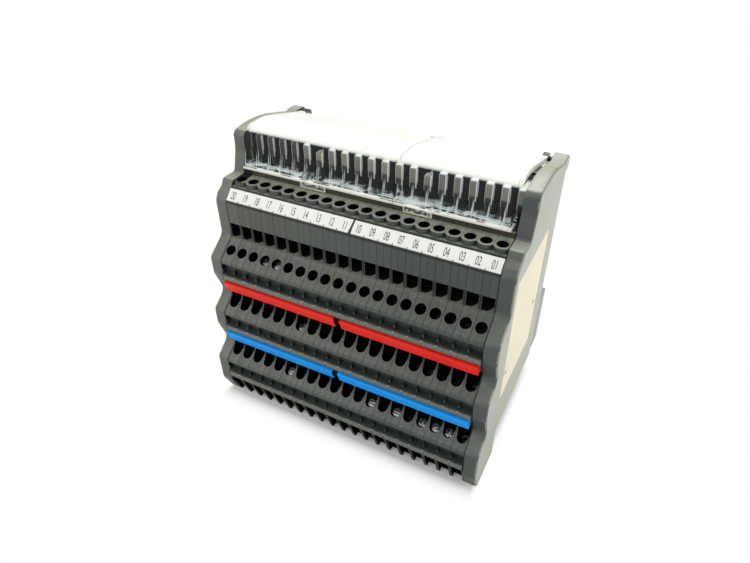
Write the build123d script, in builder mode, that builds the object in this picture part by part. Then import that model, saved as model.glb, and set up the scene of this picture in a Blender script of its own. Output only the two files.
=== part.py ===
import os
from build123d import *

os.makedirs("parts", exist_ok=True)

# Multi-level terminal block: equal poles in a row between two end plates, with plugs
# in their tops, hinged clear covers over the plugs and a foot for a mounting rail.
# X runs along the row, +Y towards the rail, +Z up, and Z is zero at the base.

# Row
pole_count = 20
pitch = 6.2
plate_thickness = 6.0
plate_edge = 0.6

# Round holes and collars repeat in every pole, so each has few flat sides
round_sides = 12
screw_sides = 8

# Depths in the side view, with Y measured from the axis of the upper screws
back_face = 53.0
foot_depth = 14.7
base_rear = -2.0
base_setback = 4.9
plain_face = -9.4
slope_run = 9.9
undercut = 4.3

# Stepped levels below the plain face, each one lower and further forward
level_count = 3
level_drop = 27.0
level_advance = 4.1
lowest_nose_top = 25.0
nose_height = 8.5
lower_slope_rise = 6.3
top_slope_rise = 7.3
base_nose = 10.5
base_round = 6.0
underside = 16.7
nose_radius = 3.0
valley_radius = 4.5

# Marker grooves, the lips below them, and the nibs between poles
groove_drop = 1.7
groove_height = 4.7
groove_depth = 1.9
lip_reach = 0.5
lip_slope = 0.7
lip_height = 3.4
nib_width = 0.6
nib_height = 1.5

# Cross bars on the sloping seats under two of the lips
bar_thickness = 2.85
bar_height = 5.8
bar_drop = 0.4
bar_edge = 0.5
bar_seat_gap = 0.1
bar_start_gap = 0.9
bar_end_gap = 2.5
bar_split = 10
bar_middle_gap = 0.3
pin_width = 1.0
pin_height = 2.0
pin_length = 6.0
pin_clearance = 0.2

# Top of the block, from the plain face up
face_height = 21.5
collar_height = 3.2
collar_radius = 3.05
step_face = 5.4
shelf_rise = 2.2
wall_front = 12.6
wall_lean = 1.0
wall_thickness = 0.9
wall_over_plug = 0.7
pocket_rear = 28.0
rear_slope_end = 46.0
rear_slope_drop = 5.0
rear_step = 3.9

# Label strips on inclined seats, each held by a low rib at its lower edge
label_seat_front = -4.1
label_seat_length = 6.2
label_thickness = 0.9
label_gap = 0.15
label_middle_gap = 0.3

# Openings of one pole
opening_width = 5.0
screw_hole_radius = 2.25
screw_hole_depth = 8.0
screw_offset = 5.8
collar_hole_depth = 12.0
entry_rise = 2.1
entry_height = 4.8
entry_sill_drop = 5.8
entry_reach = 12.0
entry_ramp = 3.5
cup_radius = 2.6
cup_sink = 3.8
cup_gap = 0.5
cup_depth = 8.0
base_entry_drop = 1.1
base_entry_depth = 12.0
base_entry_sill = 2.6
base_entry_lip = 2.4

# Clamp screws, with a few of them wound out nearly to the surface
screw_radius = 1.95
screw_length = 4.0
screw_sink = 4.0
collar_screw_sink = 7.0
raised_sink = 1.0
raised_screws = {"first": (3, 4), "second": (6,), "third": (5, 12, 14, 16, 17, 18)}

# Plugs in the pockets under the covers
plug_width = 3.2
plug_side_gap = 0.1
plug_front_gap = 0.4
plug_rear_gap = 1.4
plug_height = 13.5
plug_tail_drop = 1.7
plug_cap_depth = 3.6
plug_grip_height = 8.6
plug_grip_step = 1.8
plug_round = 1.0
short_plugs = (5, 13)
short_drop = 2.4
blade_thickness = 0.8
blade_width = 7.0
blade_length = 5.0
blade_clearance = 0.15

# Square tie rods through the row
rod_width = 2.6
rod_clearance = 0.1
rod_places = ((33.9, 64.2), (-2.0, 52.0))
rod_bite = 4.0

# Lands for a 35 mm rail, with a fixed hook above them and the foot below
foot_height = 32.5
foot_end_gap = 0.6
rail_height = 35.0
rail_play = 0.3
rail_land = 0.4
land_margin = 0.4
hook_gap = 2.0
hook_thickness = 2.6
hook_lip = 2.6
hook_rise = 6.0
foot_pocket = (13.0, 5.0, 24.0)
foot_pocket_count = 7
foot_edge = 1.0

# Sliding latches in the foot
latch_spacing = 52.0
latch_width = 16.0
latch_thickness = 5.4
latch_clearance = 0.25
latch_shoulder = 2.0
latch_nose = 2.6
latch_nose_depth = 2.6
latch_nose_chamfer = 1.4
latch_slot = (7.0, 3.0)
latch_slot_level = 5.0

# Hinged clear covers
cover_split = 73.9
cover_start_gap = 0.3
cover_end_gap = 1.9
cover_middle_gap = 0.3
cover_wall = 1.3
cover_lift = 0.3
cover_setback = 0.8
cover_lean = 4.2
crown_room = 2.5
crown_end = 24.0
cover_rear_reach = 4.4
cover_rear_room = 2.2
brow_radius = 5.0
crown_radius = 30.0
end_wall_depth = 5.8
rim_depth = 2.2
flange_reach = 1.3
flange_height = 0.8
tab_width = 12.0
tab_thickness = 1.0
tab_drop = 2.0
tab_centres = (36.8, 84.9)

# Hinge line, its cheeks on the end plates and the bracket between the covers
hinge_reach = 4.0
hinge_drop = 2.2
hinge_pin_radius = 1.2
hinge_pin_length = 4.6
hinge_play = 0.08
hinge_cheek = 2.9
barrel_wall = 1.1
barrel_length = 3.5
bracket_width = 5.0
bracket_clearance = 0.3
bracket_shoulder = 2.0
bracket_round = 1.5

# Edge of the end plates beside the covers and labels
plate_crown_drop = 0.6
plate_crown_radius = 60.0
plate_brow = (2.4, 2.6)
plate_waist = (2.2, 10.2)
plate_waist_radius = 16.0
plate_guard = 0.5
plate_shoulder_radius = 1.5

# Side label, flush in a shallow field of the right plate
side_label_thickness = 0.3
side_label_sink = 0.1
side_label_size = (44.6, 61.0)
side_label_centre = (17.8, 68.5)
side_label_gap = 0.15

row_length = pole_count * pitch
row_start = -row_length / 2
row_end = row_length / 2
nose_front = plain_face - slope_run
lip_front = nose_front - lip_reach
lowest_lip = lip_front - (level_count - 1) * level_advance
base_front = nose_front - (level_count - 1) * level_advance + base_setback
foot_rear = back_face + foot_depth
centre_shift = -(lowest_lip + foot_rear) / 2

nose_top = lowest_nose_top + (level_count - 1) * level_drop
nose_low = nose_top - nose_height
valley_height = nose_top - level_drop + lower_slope_rise
plain_bottom = nose_top + top_slope_rise
groove_top = nose_top - groove_drop
groove_bottom = groove_top - groove_height
lip_bottom = groove_bottom - lip_slope - lip_height
bar_top = lip_bottom - bar_drop
base_entry_top = lip_bottom - (level_count - 1) * level_drop - base_entry_drop
foot_top = underside + foot_height
rail_top = foot_top + rail_play + rail_height

collar_shelf = plain_bottom + face_height
collar_top = collar_shelf + collar_height
shelf_top = collar_top + shelf_rise
plug_top = shelf_top + plug_height
wall_top = plug_top + wall_over_plug
rear_flat = wall_top - rear_slope_drop - rear_step
cover_front = step_face + cover_setback
cover_crown = wall_top + crown_room + cover_wall
cover_rear = rear_slope_end + cover_rear_reach
cover_rear_height = wall_top - rear_slope_drop + cover_rear_room
hinge_y = cover_rear + hinge_reach
hinge_z = cover_rear_height - hinge_drop


def side_plane(x):
    """YZ drawing plane at x, with Y measured from the axis of the upper screws."""
    return Plane(origin=(x, centre_shift, 0), x_dir=(0, 1, 0), z_dir=(1, 0, 0))


def on_level(level, y, z):
    """A point of the uppermost level, moved down to another level."""
    return (y - level * level_advance, z - level * level_drop)


def pole_start(index):
    """Left face of a pole, counted from zero."""
    return row_start + index * pitch


def valley(level):
    """Deepest corner above the slope of a level."""
    if level == 0:
        return (plain_face, plain_bottom)
    return on_level(level - 1, nose_front + undercut, valley_height)


def seat_point(level, z):
    """Point of the sloping face below a level's lip, at height z of the upper level."""
    run = (nose_low - z) / (nose_low - valley_height)
    return on_level(level, nose_front + run * undercut, z)


def slope_plane(level):
    """Plane on a level's slope at its screw axis, X along the row and Y uphill."""
    top = Vector(0, *valley(level))
    low = Vector(0, *on_level(level, nose_front, nose_top))
    uphill = (top - low).normalized()
    place = low + uphill * screw_offset + Vector(pitch / 2, centre_shift, 0)
    return Plane(origin=place, x_dir=(1, 0, 0), z_dir=Vector(1, 0, 0).cross(uphill))


# Line of the inclined label seats, which fall forward at 45 degrees
label_slope = Vector(-1, -1).normalized()
label_seat_top = Vector(label_seat_front, collar_shelf)
label_seat_low = label_seat_top + label_slope * label_seat_length

# End plates, whose front edge follows the wave of the poles
plate_outline = [
    ((base_rear, 0), 0),
    ((base_rear, underside), plate_edge),
    ((back_face, underside), 0),
    ((back_face, rear_flat), 0),
    ((hinge_y + hinge_cheek, hinge_z - hinge_cheek), 0),
    ((hinge_y + hinge_cheek, hinge_z + hinge_cheek), hinge_cheek - plate_edge / 2),
    ((cover_rear, hinge_z + hinge_cheek), 0),
    ((cover_rear - hinge_drop, cover_rear_height), 0),
    ((crown_end, cover_crown - plate_crown_drop), plate_crown_radius),
    ((cover_front + plate_brow[0], cover_crown - plate_brow[1]), nose_radius),
    ((cover_front + plate_waist[0], cover_crown - plate_waist[1]), plate_waist_radius),
    ((step_face, collar_top), plate_shoulder_radius),
    ((label_seat_front + 3 * plate_guard, collar_top), plate_shoulder_radius),
    ((label_seat_front, collar_shelf + plate_guard), 0),
    ((plain_face + 4 * plate_guard, collar_shelf - 3 * plate_guard), plate_shoulder_radius),
    ((plain_face, label_seat_low.Y - plate_guard), valley_radius),
]
for level in range(level_count):
    low_corner = on_level(level, nose_front, nose_low)
    if level == level_count - 1:
        low_corner = (low_corner[0], base_nose)
    plate_outline += [
        (valley(level), valley_radius),
        (on_level(level, nose_front, nose_top), nose_radius),
        (low_corner, base_round),
    ]
plate_outline.append(((base_front, 0), 0))

for name, side in (("left", -1), ("right", 1)):
    inner_face = side * row_length / 2
    outer_face = inner_face + side * plate_thickness
    with BuildPart() as end_plate:
        with BuildSketch(side_plane(inner_face)):
            with BuildLine():
                FilletPolyline(
                    *[corner for corner, radius in plate_outline],
                    radius=[radius for corner, radius in plate_outline],
                    close=True,
                )
            make_face()
        extrude(amount=side * plate_thickness)
        chamfer(end_plate.faces().sort_by(Axis.X)[0 if side < 0 else -1].edges(), plate_edge)
        with BuildSketch(side_plane(inner_face)):
            with Locations((hinge_y, hinge_z)):
                Circle(hinge_pin_radius)
        extrude(amount=-side * hinge_pin_length)
        with BuildSketch(side_plane(inner_face)):
            with Locations(*rod_places):
                Rectangle(rod_width + 2 * rod_clearance, rod_width + 2 * rod_clearance)
        extrude(amount=side * rod_bite, mode=Mode.SUBTRACT)
        if side > 0:
            with BuildSketch(side_plane(outer_face)):
                with Locations(side_label_centre):
                    Rectangle(*[size + 2 * side_label_gap for size in side_label_size])
            extrude(amount=-side_label_thickness - side_label_sink, mode=Mode.SUBTRACT)
    end_plate.part.label = f"end_plate_{name}"
    export_step(end_plate.part, f"parts/end_plate_{name}.step")

# Label on the outer side of the right plate
label_floor = row_end + plate_thickness - side_label_thickness - side_label_sink
with BuildPart() as side_label:
    with BuildSketch(side_plane(label_floor)):
        with Locations(side_label_centre):
            Rectangle(*side_label_size)
    extrude(amount=side_label_thickness)
side_label.part.label = "side_label"
export_step(side_label.part, "parts/side_label.step")

# Outline of a pole, from the base round the rail side, over the top and down the front
latch_front = back_face + hook_gap
hook_rear = latch_front + hook_thickness
land_low = foot_top + latch_nose + land_margin
land_high = rail_top - hook_lip - land_margin
pole_outline = [
    ((base_rear, 0), 0),
    ((base_rear, underside), 0),
    ((back_face, underside), 0),
    ((back_face, land_low), 0),
    ((back_face + rail_land, land_low), 0),
    ((back_face + rail_land, land_high), 0),
    ((back_face, land_high), 0),
    ((back_face, rail_top), 0),
    ((latch_front, rail_top), 0),
    ((latch_front, rail_top - hook_lip), 0),
    ((hook_rear, rail_top - hook_lip), 0),
    ((hook_rear, rail_top + hook_rise / 2), 0),
    ((back_face, rail_top + hook_rise), 0),
    ((back_face, rear_flat), 0),
    ((rear_slope_end, rear_flat), 0),
    ((rear_slope_end, wall_top - rear_slope_drop), 0),
    ((pocket_rear, wall_top), 0),
    ((pocket_rear, shelf_top), 0),
    ((step_face, shelf_top), 0),
    ((step_face, collar_top), 0),
    ((0, collar_top), 0),
    ((0, collar_shelf), 0),
    ((label_seat_top.X, label_seat_top.Y), 0),
    ((label_seat_low.X, label_seat_low.Y), 0),
    ((plain_face, label_seat_low.Y + label_seat_low.X - plain_face), 0),
]
for level in range(level_count):
    pole_outline += [
        (valley(level), valley_radius),
        (on_level(level, nose_front, nose_top), nose_radius),
        (on_level(level, nose_front, groove_top), 0),
        (on_level(level, nose_front + groove_depth, groove_top), 0),
        (on_level(level, nose_front + groove_depth, groove_bottom), 0),
        (on_level(level, lip_front, groove_bottom - lip_slope), 0),
        (on_level(level, lip_front, lip_bottom), 0),
    ]
    if level < level_count - 1:
        pole_outline.append((seat_point(level, bar_top + bar_seat_gap), 0))
pole_outline.append(((on_level(level_count - 1, nose_front, 0)[0], base_entry_top), 0))
pole_outline.append(((base_front, 0), 0))
opening_start = (pitch - opening_width) / 2

with BuildPart() as pole:
    with BuildSketch(side_plane(0)):
        with BuildLine():
            FilletPolyline(
                *[corner for corner, radius in pole_outline],
                radius=[radius for corner, radius in pole_outline],
                close=True,
            )
        make_face()
    extrude(amount=pitch)
    # thin wall beside the plug pocket
    with BuildSketch(side_plane(0)):
        Polygon(
            (wall_front, shelf_top),
            (wall_front + wall_lean, wall_top),
            (pocket_rear, wall_top),
            (pocket_rear, shelf_top),
            align=None,
        )
    extrude(amount=wall_thickness)
    # round collar about the upper screw
    with BuildSketch(Plane.XY.offset(collar_shelf)):
        with Locations((pitch / 2, centre_shift)):
            RegularPolygon(collar_radius, round_sides)
    extrude(amount=collar_height)
    # nibs in the marker grooves, at the edge of the pole
    for level in range(level_count):
        with BuildSketch(side_plane(0)):
            with Locations(on_level(level, nose_front + groove_depth, groove_bottom)):
                Rectangle(groove_depth, nib_height, align=(Align.MAX, Align.MIN))
        extrude(amount=nib_width)
    # screw holes in the collar and square to each slope
    with BuildSketch(Plane.XY.offset(collar_top)):
        with Locations((pitch / 2, centre_shift)):
            RegularPolygon(screw_hole_radius, round_sides)
    extrude(amount=-collar_hole_depth, mode=Mode.SUBTRACT)
    for level in range(level_count):
        with BuildSketch(slope_plane(level)):
            RegularPolygon(screw_hole_radius, round_sides)
        extrude(amount=-screw_hole_depth, mode=Mode.SUBTRACT)
    # wire entry in the plain face, with a sloping sill
    entry_floor = plain_bottom + entry_rise
    with BuildSketch(side_plane(opening_start)):
        Polygon(
            (plain_face - entry_ramp * 2, entry_floor - entry_sill_drop),
            (plain_face + entry_ramp, entry_floor),
            (plain_face + entry_reach, entry_floor),
            (plain_face + entry_reach, entry_floor + entry_height),
            (plain_face - entry_ramp * 2, entry_floor + entry_height),
            align=None,
        )
    extrude(amount=opening_width, mode=Mode.SUBTRACT)
    # round-bottomed entries under the cross bars, and the holes for the bar pins
    cup_bottom = valley_height - cup_sink
    cup_straight = bar_top - bar_height - cup_gap - cup_bottom - cup_radius
    for level in range(level_count - 1):
        cup_end = valley(level + 1)[0] + cup_depth
        with BuildSketch(Plane.XZ.offset(-cup_end - centre_shift)):
            with Locations((pitch / 2, on_level(level, 0, cup_bottom)[1] + cup_radius)):
                RegularPolygon(cup_radius, round_sides)
                Rectangle(2 * cup_radius, cup_straight, align=(Align.CENTER, Align.MIN))
        extrude(amount=2 * cup_depth, mode=Mode.SUBTRACT)
        pin_y, pin_z = seat_point(level, bar_top - bar_height / 2)
        with BuildSketch(Plane.XZ.offset(-(pin_y + pin_length + centre_shift + pin_clearance))):
            with Locations((pitch / 2, pin_z)):
                Rectangle(pin_width + 2 * pin_clearance, pin_height + 2 * pin_clearance)
        extrude(amount=pin_length + bar_thickness, mode=Mode.SUBTRACT)
    # wire entry in the base, open to the front and below
    base_entry_rear = base_front - base_setback + base_entry_depth
    with BuildSketch(side_plane(opening_start)):
        Polygon(
            (lowest_lip - lip_reach, -base_entry_lip),
            (base_front + base_entry_lip, -base_entry_lip),
            (base_front + base_entry_lip, base_entry_sill / 2),
            (base_entry_rear, base_entry_sill),
            (base_entry_rear, base_entry_top),
            (lowest_lip - lip_reach, base_entry_top),
            align=None,
        )
    extrude(amount=opening_width, mode=Mode.SUBTRACT)
    # slot for the plug's blade, and the tie rod holes
    plug_front = wall_front + plug_front_gap
    plug_rear = pocket_rear - plug_rear_gap
    blade_y = (plug_front + plug_grip_step + plug_rear) / 2 + centre_shift
    blade_x = pitch - plug_side_gap - plug_width / 2
    with BuildSketch(Plane.XY.offset(shelf_top)):
        with Locations((blade_x, blade_y)):
            Rectangle(blade_thickness + 2 * blade_clearance, blade_width + 2 * blade_clearance)
    extrude(amount=-blade_length - blade_clearance, mode=Mode.SUBTRACT)
    with BuildSketch(side_plane(0)):
        with Locations(*rod_places):
            Rectangle(rod_width + 2 * rod_clearance, rod_width + 2 * rod_clearance)
    extrude(amount=pitch, mode=Mode.SUBTRACT)

for index in range(pole_count):
    with BuildPart() as terminal:
        with Locations((pole_start(index), 0, 0)):
            add(pole.part)
    terminal.part.label = f"terminal_{index + 1:02d}"
    export_step(terminal.part, f"parts/terminal_{index + 1:02d}.step")

# Plugs, each with a grip, a raised cap and one contact blade below
for index in range(pole_count):
    top = plug_top - (short_drop if index in short_plugs else 0)
    grip_low = plug_top - plug_grip_height
    right_side = pole_start(index) + pitch - plug_side_gap
    with BuildPart() as plug:
        with BuildSketch(side_plane(right_side)):
            with BuildLine():
                FilletPolyline(
                    (plug_front + plug_grip_step, shelf_top),
                    (plug_front + plug_grip_step, grip_low - plug_grip_step / 2),
                    (plug_front, grip_low),
                    (plug_front, top),
                    (plug_front + plug_cap_depth, top),
                    (plug_front + plug_cap_depth, top - plug_tail_drop / 2),
                    (plug_rear, top - plug_tail_drop),
                    (plug_rear, shelf_top),
                    radius=[0, 0, 0, plug_round, 0, 0, 0, 0],
                    close=True,
                )
            make_face()
        extrude(amount=-plug_width)
        with BuildSketch(Plane.XY.offset(shelf_top)):
            with Locations((right_side - plug_width / 2, blade_y)):
                Rectangle(blade_thickness, blade_width)
        extrude(amount=-blade_length)
    plug.part.label = f"plug_{index + 1:02d}"
    export_step(plug.part, f"parts/plug_{index + 1:02d}.step")

# Clamp screws, one group for each level and one for the collars
screw_spots = [("upper", Plane(origin=(pitch / 2, centre_shift, collar_top)), collar_screw_sink)]
for level, name in enumerate(("first", "second", "third")):
    screw_spots.append((name, slope_plane(level), screw_sink))
for name, spot, sink in screw_spots:
    with BuildPart() as screws:
        for index in range(pole_count):
            head_sink = raised_sink if index in raised_screws.get(name, ()) else sink
            shifted = spot.origin + Vector(pole_start(index), 0, 0)
            place = Plane(origin=shifted, x_dir=spot.x_dir, z_dir=spot.z_dir)
            with BuildSketch(place.offset(-head_sink)):
                RegularPolygon(screw_radius, screw_sides)
            extrude(amount=-screw_length)
    screws.part.label = f"clamp_screws_{name}"
    export_step(screws.part, f"parts/clamp_screws_{name}.step")

# Label strips, one for each half of the row
label_middle = label_seat_top + label_slope * (label_seat_length / 2)
half_end = pole_start(bar_split)
for name, first, last in (
    ("left", row_start, half_end - label_middle_gap),
    ("right", half_end + label_middle_gap, row_end - label_middle_gap),
):
    seat = Plane(
        origin=((first + last) / 2, label_middle.X + centre_shift, label_middle.Y),
        x_dir=(1, 0, 0),
        z_dir=(0, -1, 1),
    )
    with BuildPart() as label_strip:
        with BuildSketch(seat):
            Rectangle(last - first, label_seat_length - 2 * label_gap)
        extrude(amount=label_thickness)
    label_strip.part.label = f"label_strip_{name}"
    export_step(label_strip.part, f"parts/label_strip_{name}.step")

# Cross bars: two red ones on the first seat and two blue ones on the second
for level, colour in enumerate(("red", "blue")):
    for name, first_pole, last_pole in (("left", 0, bar_split), ("right", bar_split, pole_count)):
        start = pole_start(first_pole) + (bar_start_gap if first_pole == 0 else bar_middle_gap)
        end = pole_start(last_pole) - (bar_end_gap if first_pole == 0 else bar_start_gap)
        rear_top = seat_point(level, bar_top)
        rear_low = seat_point(level, bar_top - bar_height)
        with BuildPart() as bar:
            with BuildSketch(side_plane(start)):
                with BuildLine():
                    FilletPolyline(
                        rear_top,
                        (rear_top[0] - bar_thickness, rear_top[1]),
                        (rear_low[0] - bar_thickness, rear_low[1]),
                        rear_low,
                        radius=[0, bar_edge, bar_edge, 0],
                        close=True,
                    )
                make_face()
            extrude(amount=end - start)
            pin_y, pin_z = seat_point(level, bar_top - bar_height / 2)
            for index in range(first_pole, last_pole):
                with BuildSketch(Plane.XZ.offset(-(pin_y + centre_shift + pin_length))):
                    with Locations((pole_start(index) + pitch / 2, pin_z)):
                        Rectangle(pin_width, pin_height)
                extrude(amount=pin_length + bar_thickness / 2)
        bar.part.label = f"bridge_{colour}_{name}"
        export_step(bar.part, f"parts/bridge_{colour}_{name}.step")

# Tie rods from plate to plate
with BuildPart() as tie_rods:
    with BuildSketch(side_plane(row_start - rod_bite)):
        with Locations(*rod_places):
            Rectangle(rod_width, rod_width)
    extrude(amount=row_length + 2 * rod_bite)
tie_rods.part.label = "tie_rods"
export_step(tie_rods.part, "parts/tie_rods.step")

# Rail foot, a ribbed moulding as long as the block, with two guides for the latches
guide_front = latch_front - latch_clearance
guide_width = latch_width + 2 * latch_clearance
guide_thickness = latch_thickness + 2 * latch_clearance
foot_length = row_length + 2 * plate_thickness - 2 * foot_end_gap
foot_middle = centre_shift + back_face + foot_depth / 2
pocket_spacing = foot_length / foot_pocket_count
with BuildPart() as rail_foot:
    with Locations((0, foot_middle, underside)):
        Box(foot_length, foot_depth, foot_height, align=(Align.CENTER, Align.CENTER, Align.MIN))
    fillet(rail_foot.faces().sort_by(Axis.Y)[-1].edges().filter_by(Axis.X), foot_edge)
    with Locations((0, foot_rear + centre_shift, underside + foot_height / 2)):
        with GridLocations(pocket_spacing, 1, foot_pocket_count, 1):
            Box(*foot_pocket, align=(Align.CENTER, Align.MAX, Align.CENTER), mode=Mode.SUBTRACT)
    with Locations((0, guide_front + guide_thickness / 2 + centre_shift, underside)):
        with GridLocations(latch_spacing, 1, 2, 1):
            Box(
                guide_width,
                guide_thickness,
                foot_height,
                align=(Align.CENTER, Align.CENTER, Align.MIN),
                mode=Mode.SUBTRACT,
            )
rail_foot.part.label = "rail_foot"
export_step(rail_foot.part, "parts/rail_foot.step")

# Latches: a slide with a nose over the rail edge and a release tab under the foot
for name, side in (("left", -1), ("right", 1)):
    latch_x = side * latch_spacing / 2
    with BuildPart() as rail_latch:
        with BuildSketch(side_plane(latch_x)):
            with BuildLine():
                Polyline(
                    (latch_front, 0),
                    (latch_front + latch_thickness, 0),
                    (latch_front + latch_thickness, foot_top),
                    (latch_front + latch_nose_depth, foot_top),
                    (latch_front + latch_nose_depth, foot_top + latch_nose - latch_nose_chamfer),
                    (latch_front + latch_nose_depth - latch_nose_chamfer, foot_top + latch_nose),
                    (latch_front, foot_top + latch_nose),
                    close=True,
                )
            make_face()
        extrude(amount=latch_width / 2, both=True)
        with BuildSketch(Plane.XY.offset(underside)):
            with Locations((latch_x, latch_front + latch_thickness / 2 + centre_shift)):
                Rectangle(latch_width + 2 * latch_shoulder, latch_thickness)
        extrude(amount=-underside)
        fillet(rail_latch.edges().filter_by(Axis.Y).group_by(Axis.Z)[0], latch_shoulder)
        with Locations((latch_x, latch_front + latch_thickness / 2 + centre_shift, latch_slot_level)):
            Box(latch_slot[0], 2 * latch_thickness, latch_slot[1], mode=Mode.SUBTRACT)
    rail_latch.part.label = f"rail_latch_{name}"
    export_step(rail_latch.part, f"parts/rail_latch_{name}.step")

# Hinge bracket between the covers, standing on the rear flats
bracket_x = row_start + cover_split
bracket_front = rear_slope_end + bracket_clearance
with BuildPart() as hinge_bracket:
    with BuildSketch(side_plane(bracket_x)):
        with BuildLine():
            FilletPolyline(
                (bracket_front, rear_flat),
                (back_face, rear_flat),
                (hinge_y + hinge_cheek, hinge_z - bracket_shoulder),
                (hinge_y + hinge_cheek, hinge_z + hinge_cheek),
                (cover_rear, hinge_z + hinge_cheek),
                (bracket_front, hinge_z - bracket_shoulder),
                radius=[0, 0, bracket_round, bracket_round, bracket_round, 0],
                close=True,
            )
        make_face()
    extrude(amount=bracket_width / 2, both=True)
    with BuildSketch(side_plane(bracket_x)):
        with Locations((hinge_y, hinge_z)):
            Circle(hinge_pin_radius)
    extrude(amount=bracket_width / 2 + hinge_pin_length, both=True)
hinge_bracket.part.label = "hinge_bracket"
export_step(hinge_bracket.part, "parts/hinge_bracket.step")

# Clear covers: a bent shell with end walls, a front flange with a finger tab, and barrels
cover_low = shelf_top + cover_lift
cover_points = [
    (cover_front, cover_low),
    (cover_front + cover_lean, cover_crown),
    (crown_end, cover_crown),
    (cover_rear, cover_rear_height),
]
cover_radii = [brow_radius, crown_radius]
barrel_radius = hinge_pin_radius + hinge_play + barrel_wall
notch_half = bracket_width / 2 + bracket_clearance
flange_front = cover_front - flange_reach
covers = (
    ("left", row_start + cover_start_gap, bracket_x - cover_middle_gap / 2, tab_centres[0]),
    ("right", bracket_x + cover_middle_gap / 2, row_end - cover_end_gap, tab_centres[1]),
)
for name, start, end, tab_centre in covers:
    if name == "left":
        barrel_starts = (start, bracket_x - notch_half - barrel_length)
    else:
        barrel_starts = (bracket_x + notch_half, end - barrel_length)
    with BuildPart() as cover:
        with BuildSketch(side_plane(start)):
            with BuildLine():
                FilletPolyline(*cover_points, radius=cover_radii)
                offset(amount=cover_wall, side=Side.RIGHT)
            make_face()
        extrude(amount=end - start)
        # end walls, whole in front of the plugs and a narrow rim behind
        for wall_start in (start, end - cover_wall):
            with BuildSketch(side_plane(wall_start)):
                with BuildLine():
                    FilletPolyline(
                        *cover_points,
                        (cover_rear, cover_low),
                        radius=[0, *cover_radii, 0, 0],
                        close=True,
                    )
                make_face()
                with Locations((cover_front, cover_low)):
                    Rectangle(end_wall_depth, cover_crown - cover_low, align=Align.MIN, mode=Mode.INTERSECT)
                with BuildLine():
                    FilletPolyline(*cover_points, radius=cover_radii)
                    offset(amount=rim_depth, side=Side.RIGHT)
                make_face()
            extrude(amount=cover_wall)
        split(bisect_by=Plane.XY.offset(cover_low))
        # flange along the front and the finger tab below it
        with BuildSketch(Plane.XY.offset(cover_low)):
            with Locations((start, flange_front + centre_shift)):
                Rectangle(end - start, flange_reach + cover_wall / 2, align=Align.MIN)
        extrude(amount=flange_height)
        with BuildSketch(Plane.XY.offset(cover_low - tab_drop)):
            with Locations((row_start + tab_centre, flange_front + centre_shift)):
                Rectangle(tab_width, tab_thickness)
        extrude(amount=tab_drop + flange_height)
        # notch round the hinge bracket
        with Locations((bracket_x, rear_slope_end + centre_shift, cover_low)):
            Box(
                2 * notch_half,
                back_face - rear_slope_end,
                2 * (cover_crown - cover_low),
                align=(Align.CENTER, Align.MIN, Align.CENTER),
                mode=Mode.SUBTRACT,
            )
        # barrels on the hinge pins, each on a tapered arm
        for barrel_start in barrel_starts:
            with BuildSketch(side_plane(barrel_start)):
                with Locations((hinge_y, hinge_z)):
                    Circle(barrel_radius)
                with Locations((cover_rear - cover_wall / 4, cover_rear_height - cover_wall / 2)):
                    Circle(cover_wall / 2)
                make_hull()
            extrude(amount=barrel_length)
            with BuildSketch(side_plane(barrel_start)):
                with Locations((hinge_y, hinge_z)):
                    Circle(hinge_pin_radius + hinge_play)
            extrude(amount=barrel_length, mode=Mode.SUBTRACT)
    cover.part.label = f"cover_{name}"
    export_step(cover.part, f"parts/cover_{name}.step")
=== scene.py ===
import math
import bmesh
import bpy
from mathutils import Matrix, Vector


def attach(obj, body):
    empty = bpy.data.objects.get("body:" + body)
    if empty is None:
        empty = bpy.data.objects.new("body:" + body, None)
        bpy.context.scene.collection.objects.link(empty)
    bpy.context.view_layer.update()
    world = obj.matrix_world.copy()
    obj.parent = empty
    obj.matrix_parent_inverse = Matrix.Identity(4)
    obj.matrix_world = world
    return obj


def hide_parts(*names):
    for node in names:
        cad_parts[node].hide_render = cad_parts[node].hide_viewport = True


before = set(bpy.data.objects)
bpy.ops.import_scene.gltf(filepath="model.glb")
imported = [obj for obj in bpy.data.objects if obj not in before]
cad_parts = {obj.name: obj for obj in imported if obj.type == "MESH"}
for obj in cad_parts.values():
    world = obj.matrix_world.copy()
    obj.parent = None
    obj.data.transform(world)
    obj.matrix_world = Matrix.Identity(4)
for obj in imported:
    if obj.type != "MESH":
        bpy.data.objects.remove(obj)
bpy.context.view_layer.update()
print("frame loaded, nodes:", len(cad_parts))

mm = 0.001

# The row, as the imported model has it
row = {
    "count": 20,
    "pitch": 6.2 * mm,
    "start": -62.0 * mm,
    "depthShift": -19.85 * mm,
    "half": 10,
}


def at(x, y, z):
    # y is counted from the axis of the upper screws, all in millimetres
    return Vector((x * mm, y * mm + row["depthShift"], z * mm))


# Camera: the lens and place that the rows of openings in the picture give
cameraPlan = {
    "place": (100.99, -177.58, 224.03),
    "azimuth": 28.04,
    "elevation": 36.17,
    "roll": -0.70,
    "focalPixels": 579.1,
    "imageWidth": 750,
    "sensor": 36.0,
}


def placeCamera():
    camera = bpy.data.cameras.new("camera")
    camera.sensor_width = cameraPlan["sensor"]
    camera.lens = cameraPlan["focalPixels"] / cameraPlan["imageWidth"] * cameraPlan["sensor"]
    holder = bpy.data.objects.new("camera", camera)
    turn = (
        Matrix.Rotation(math.radians(cameraPlan["azimuth"]), 4, "Z")
        @ Matrix.Rotation(math.radians(90 - cameraPlan["elevation"]), 4, "X")
        @ Matrix.Rotation(math.radians(cameraPlan["roll"]), 4, "Z")
    )
    holder.matrix_world = Matrix.Translation(at(*cameraPlan["place"])) @ turn
    bpy.context.collection.objects.link(holder)
    bpy.context.scene.camera = holder


placeCamera()
bpy.context.scene.view_settings.view_transform = "Standard"
print("camera placed")


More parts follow.
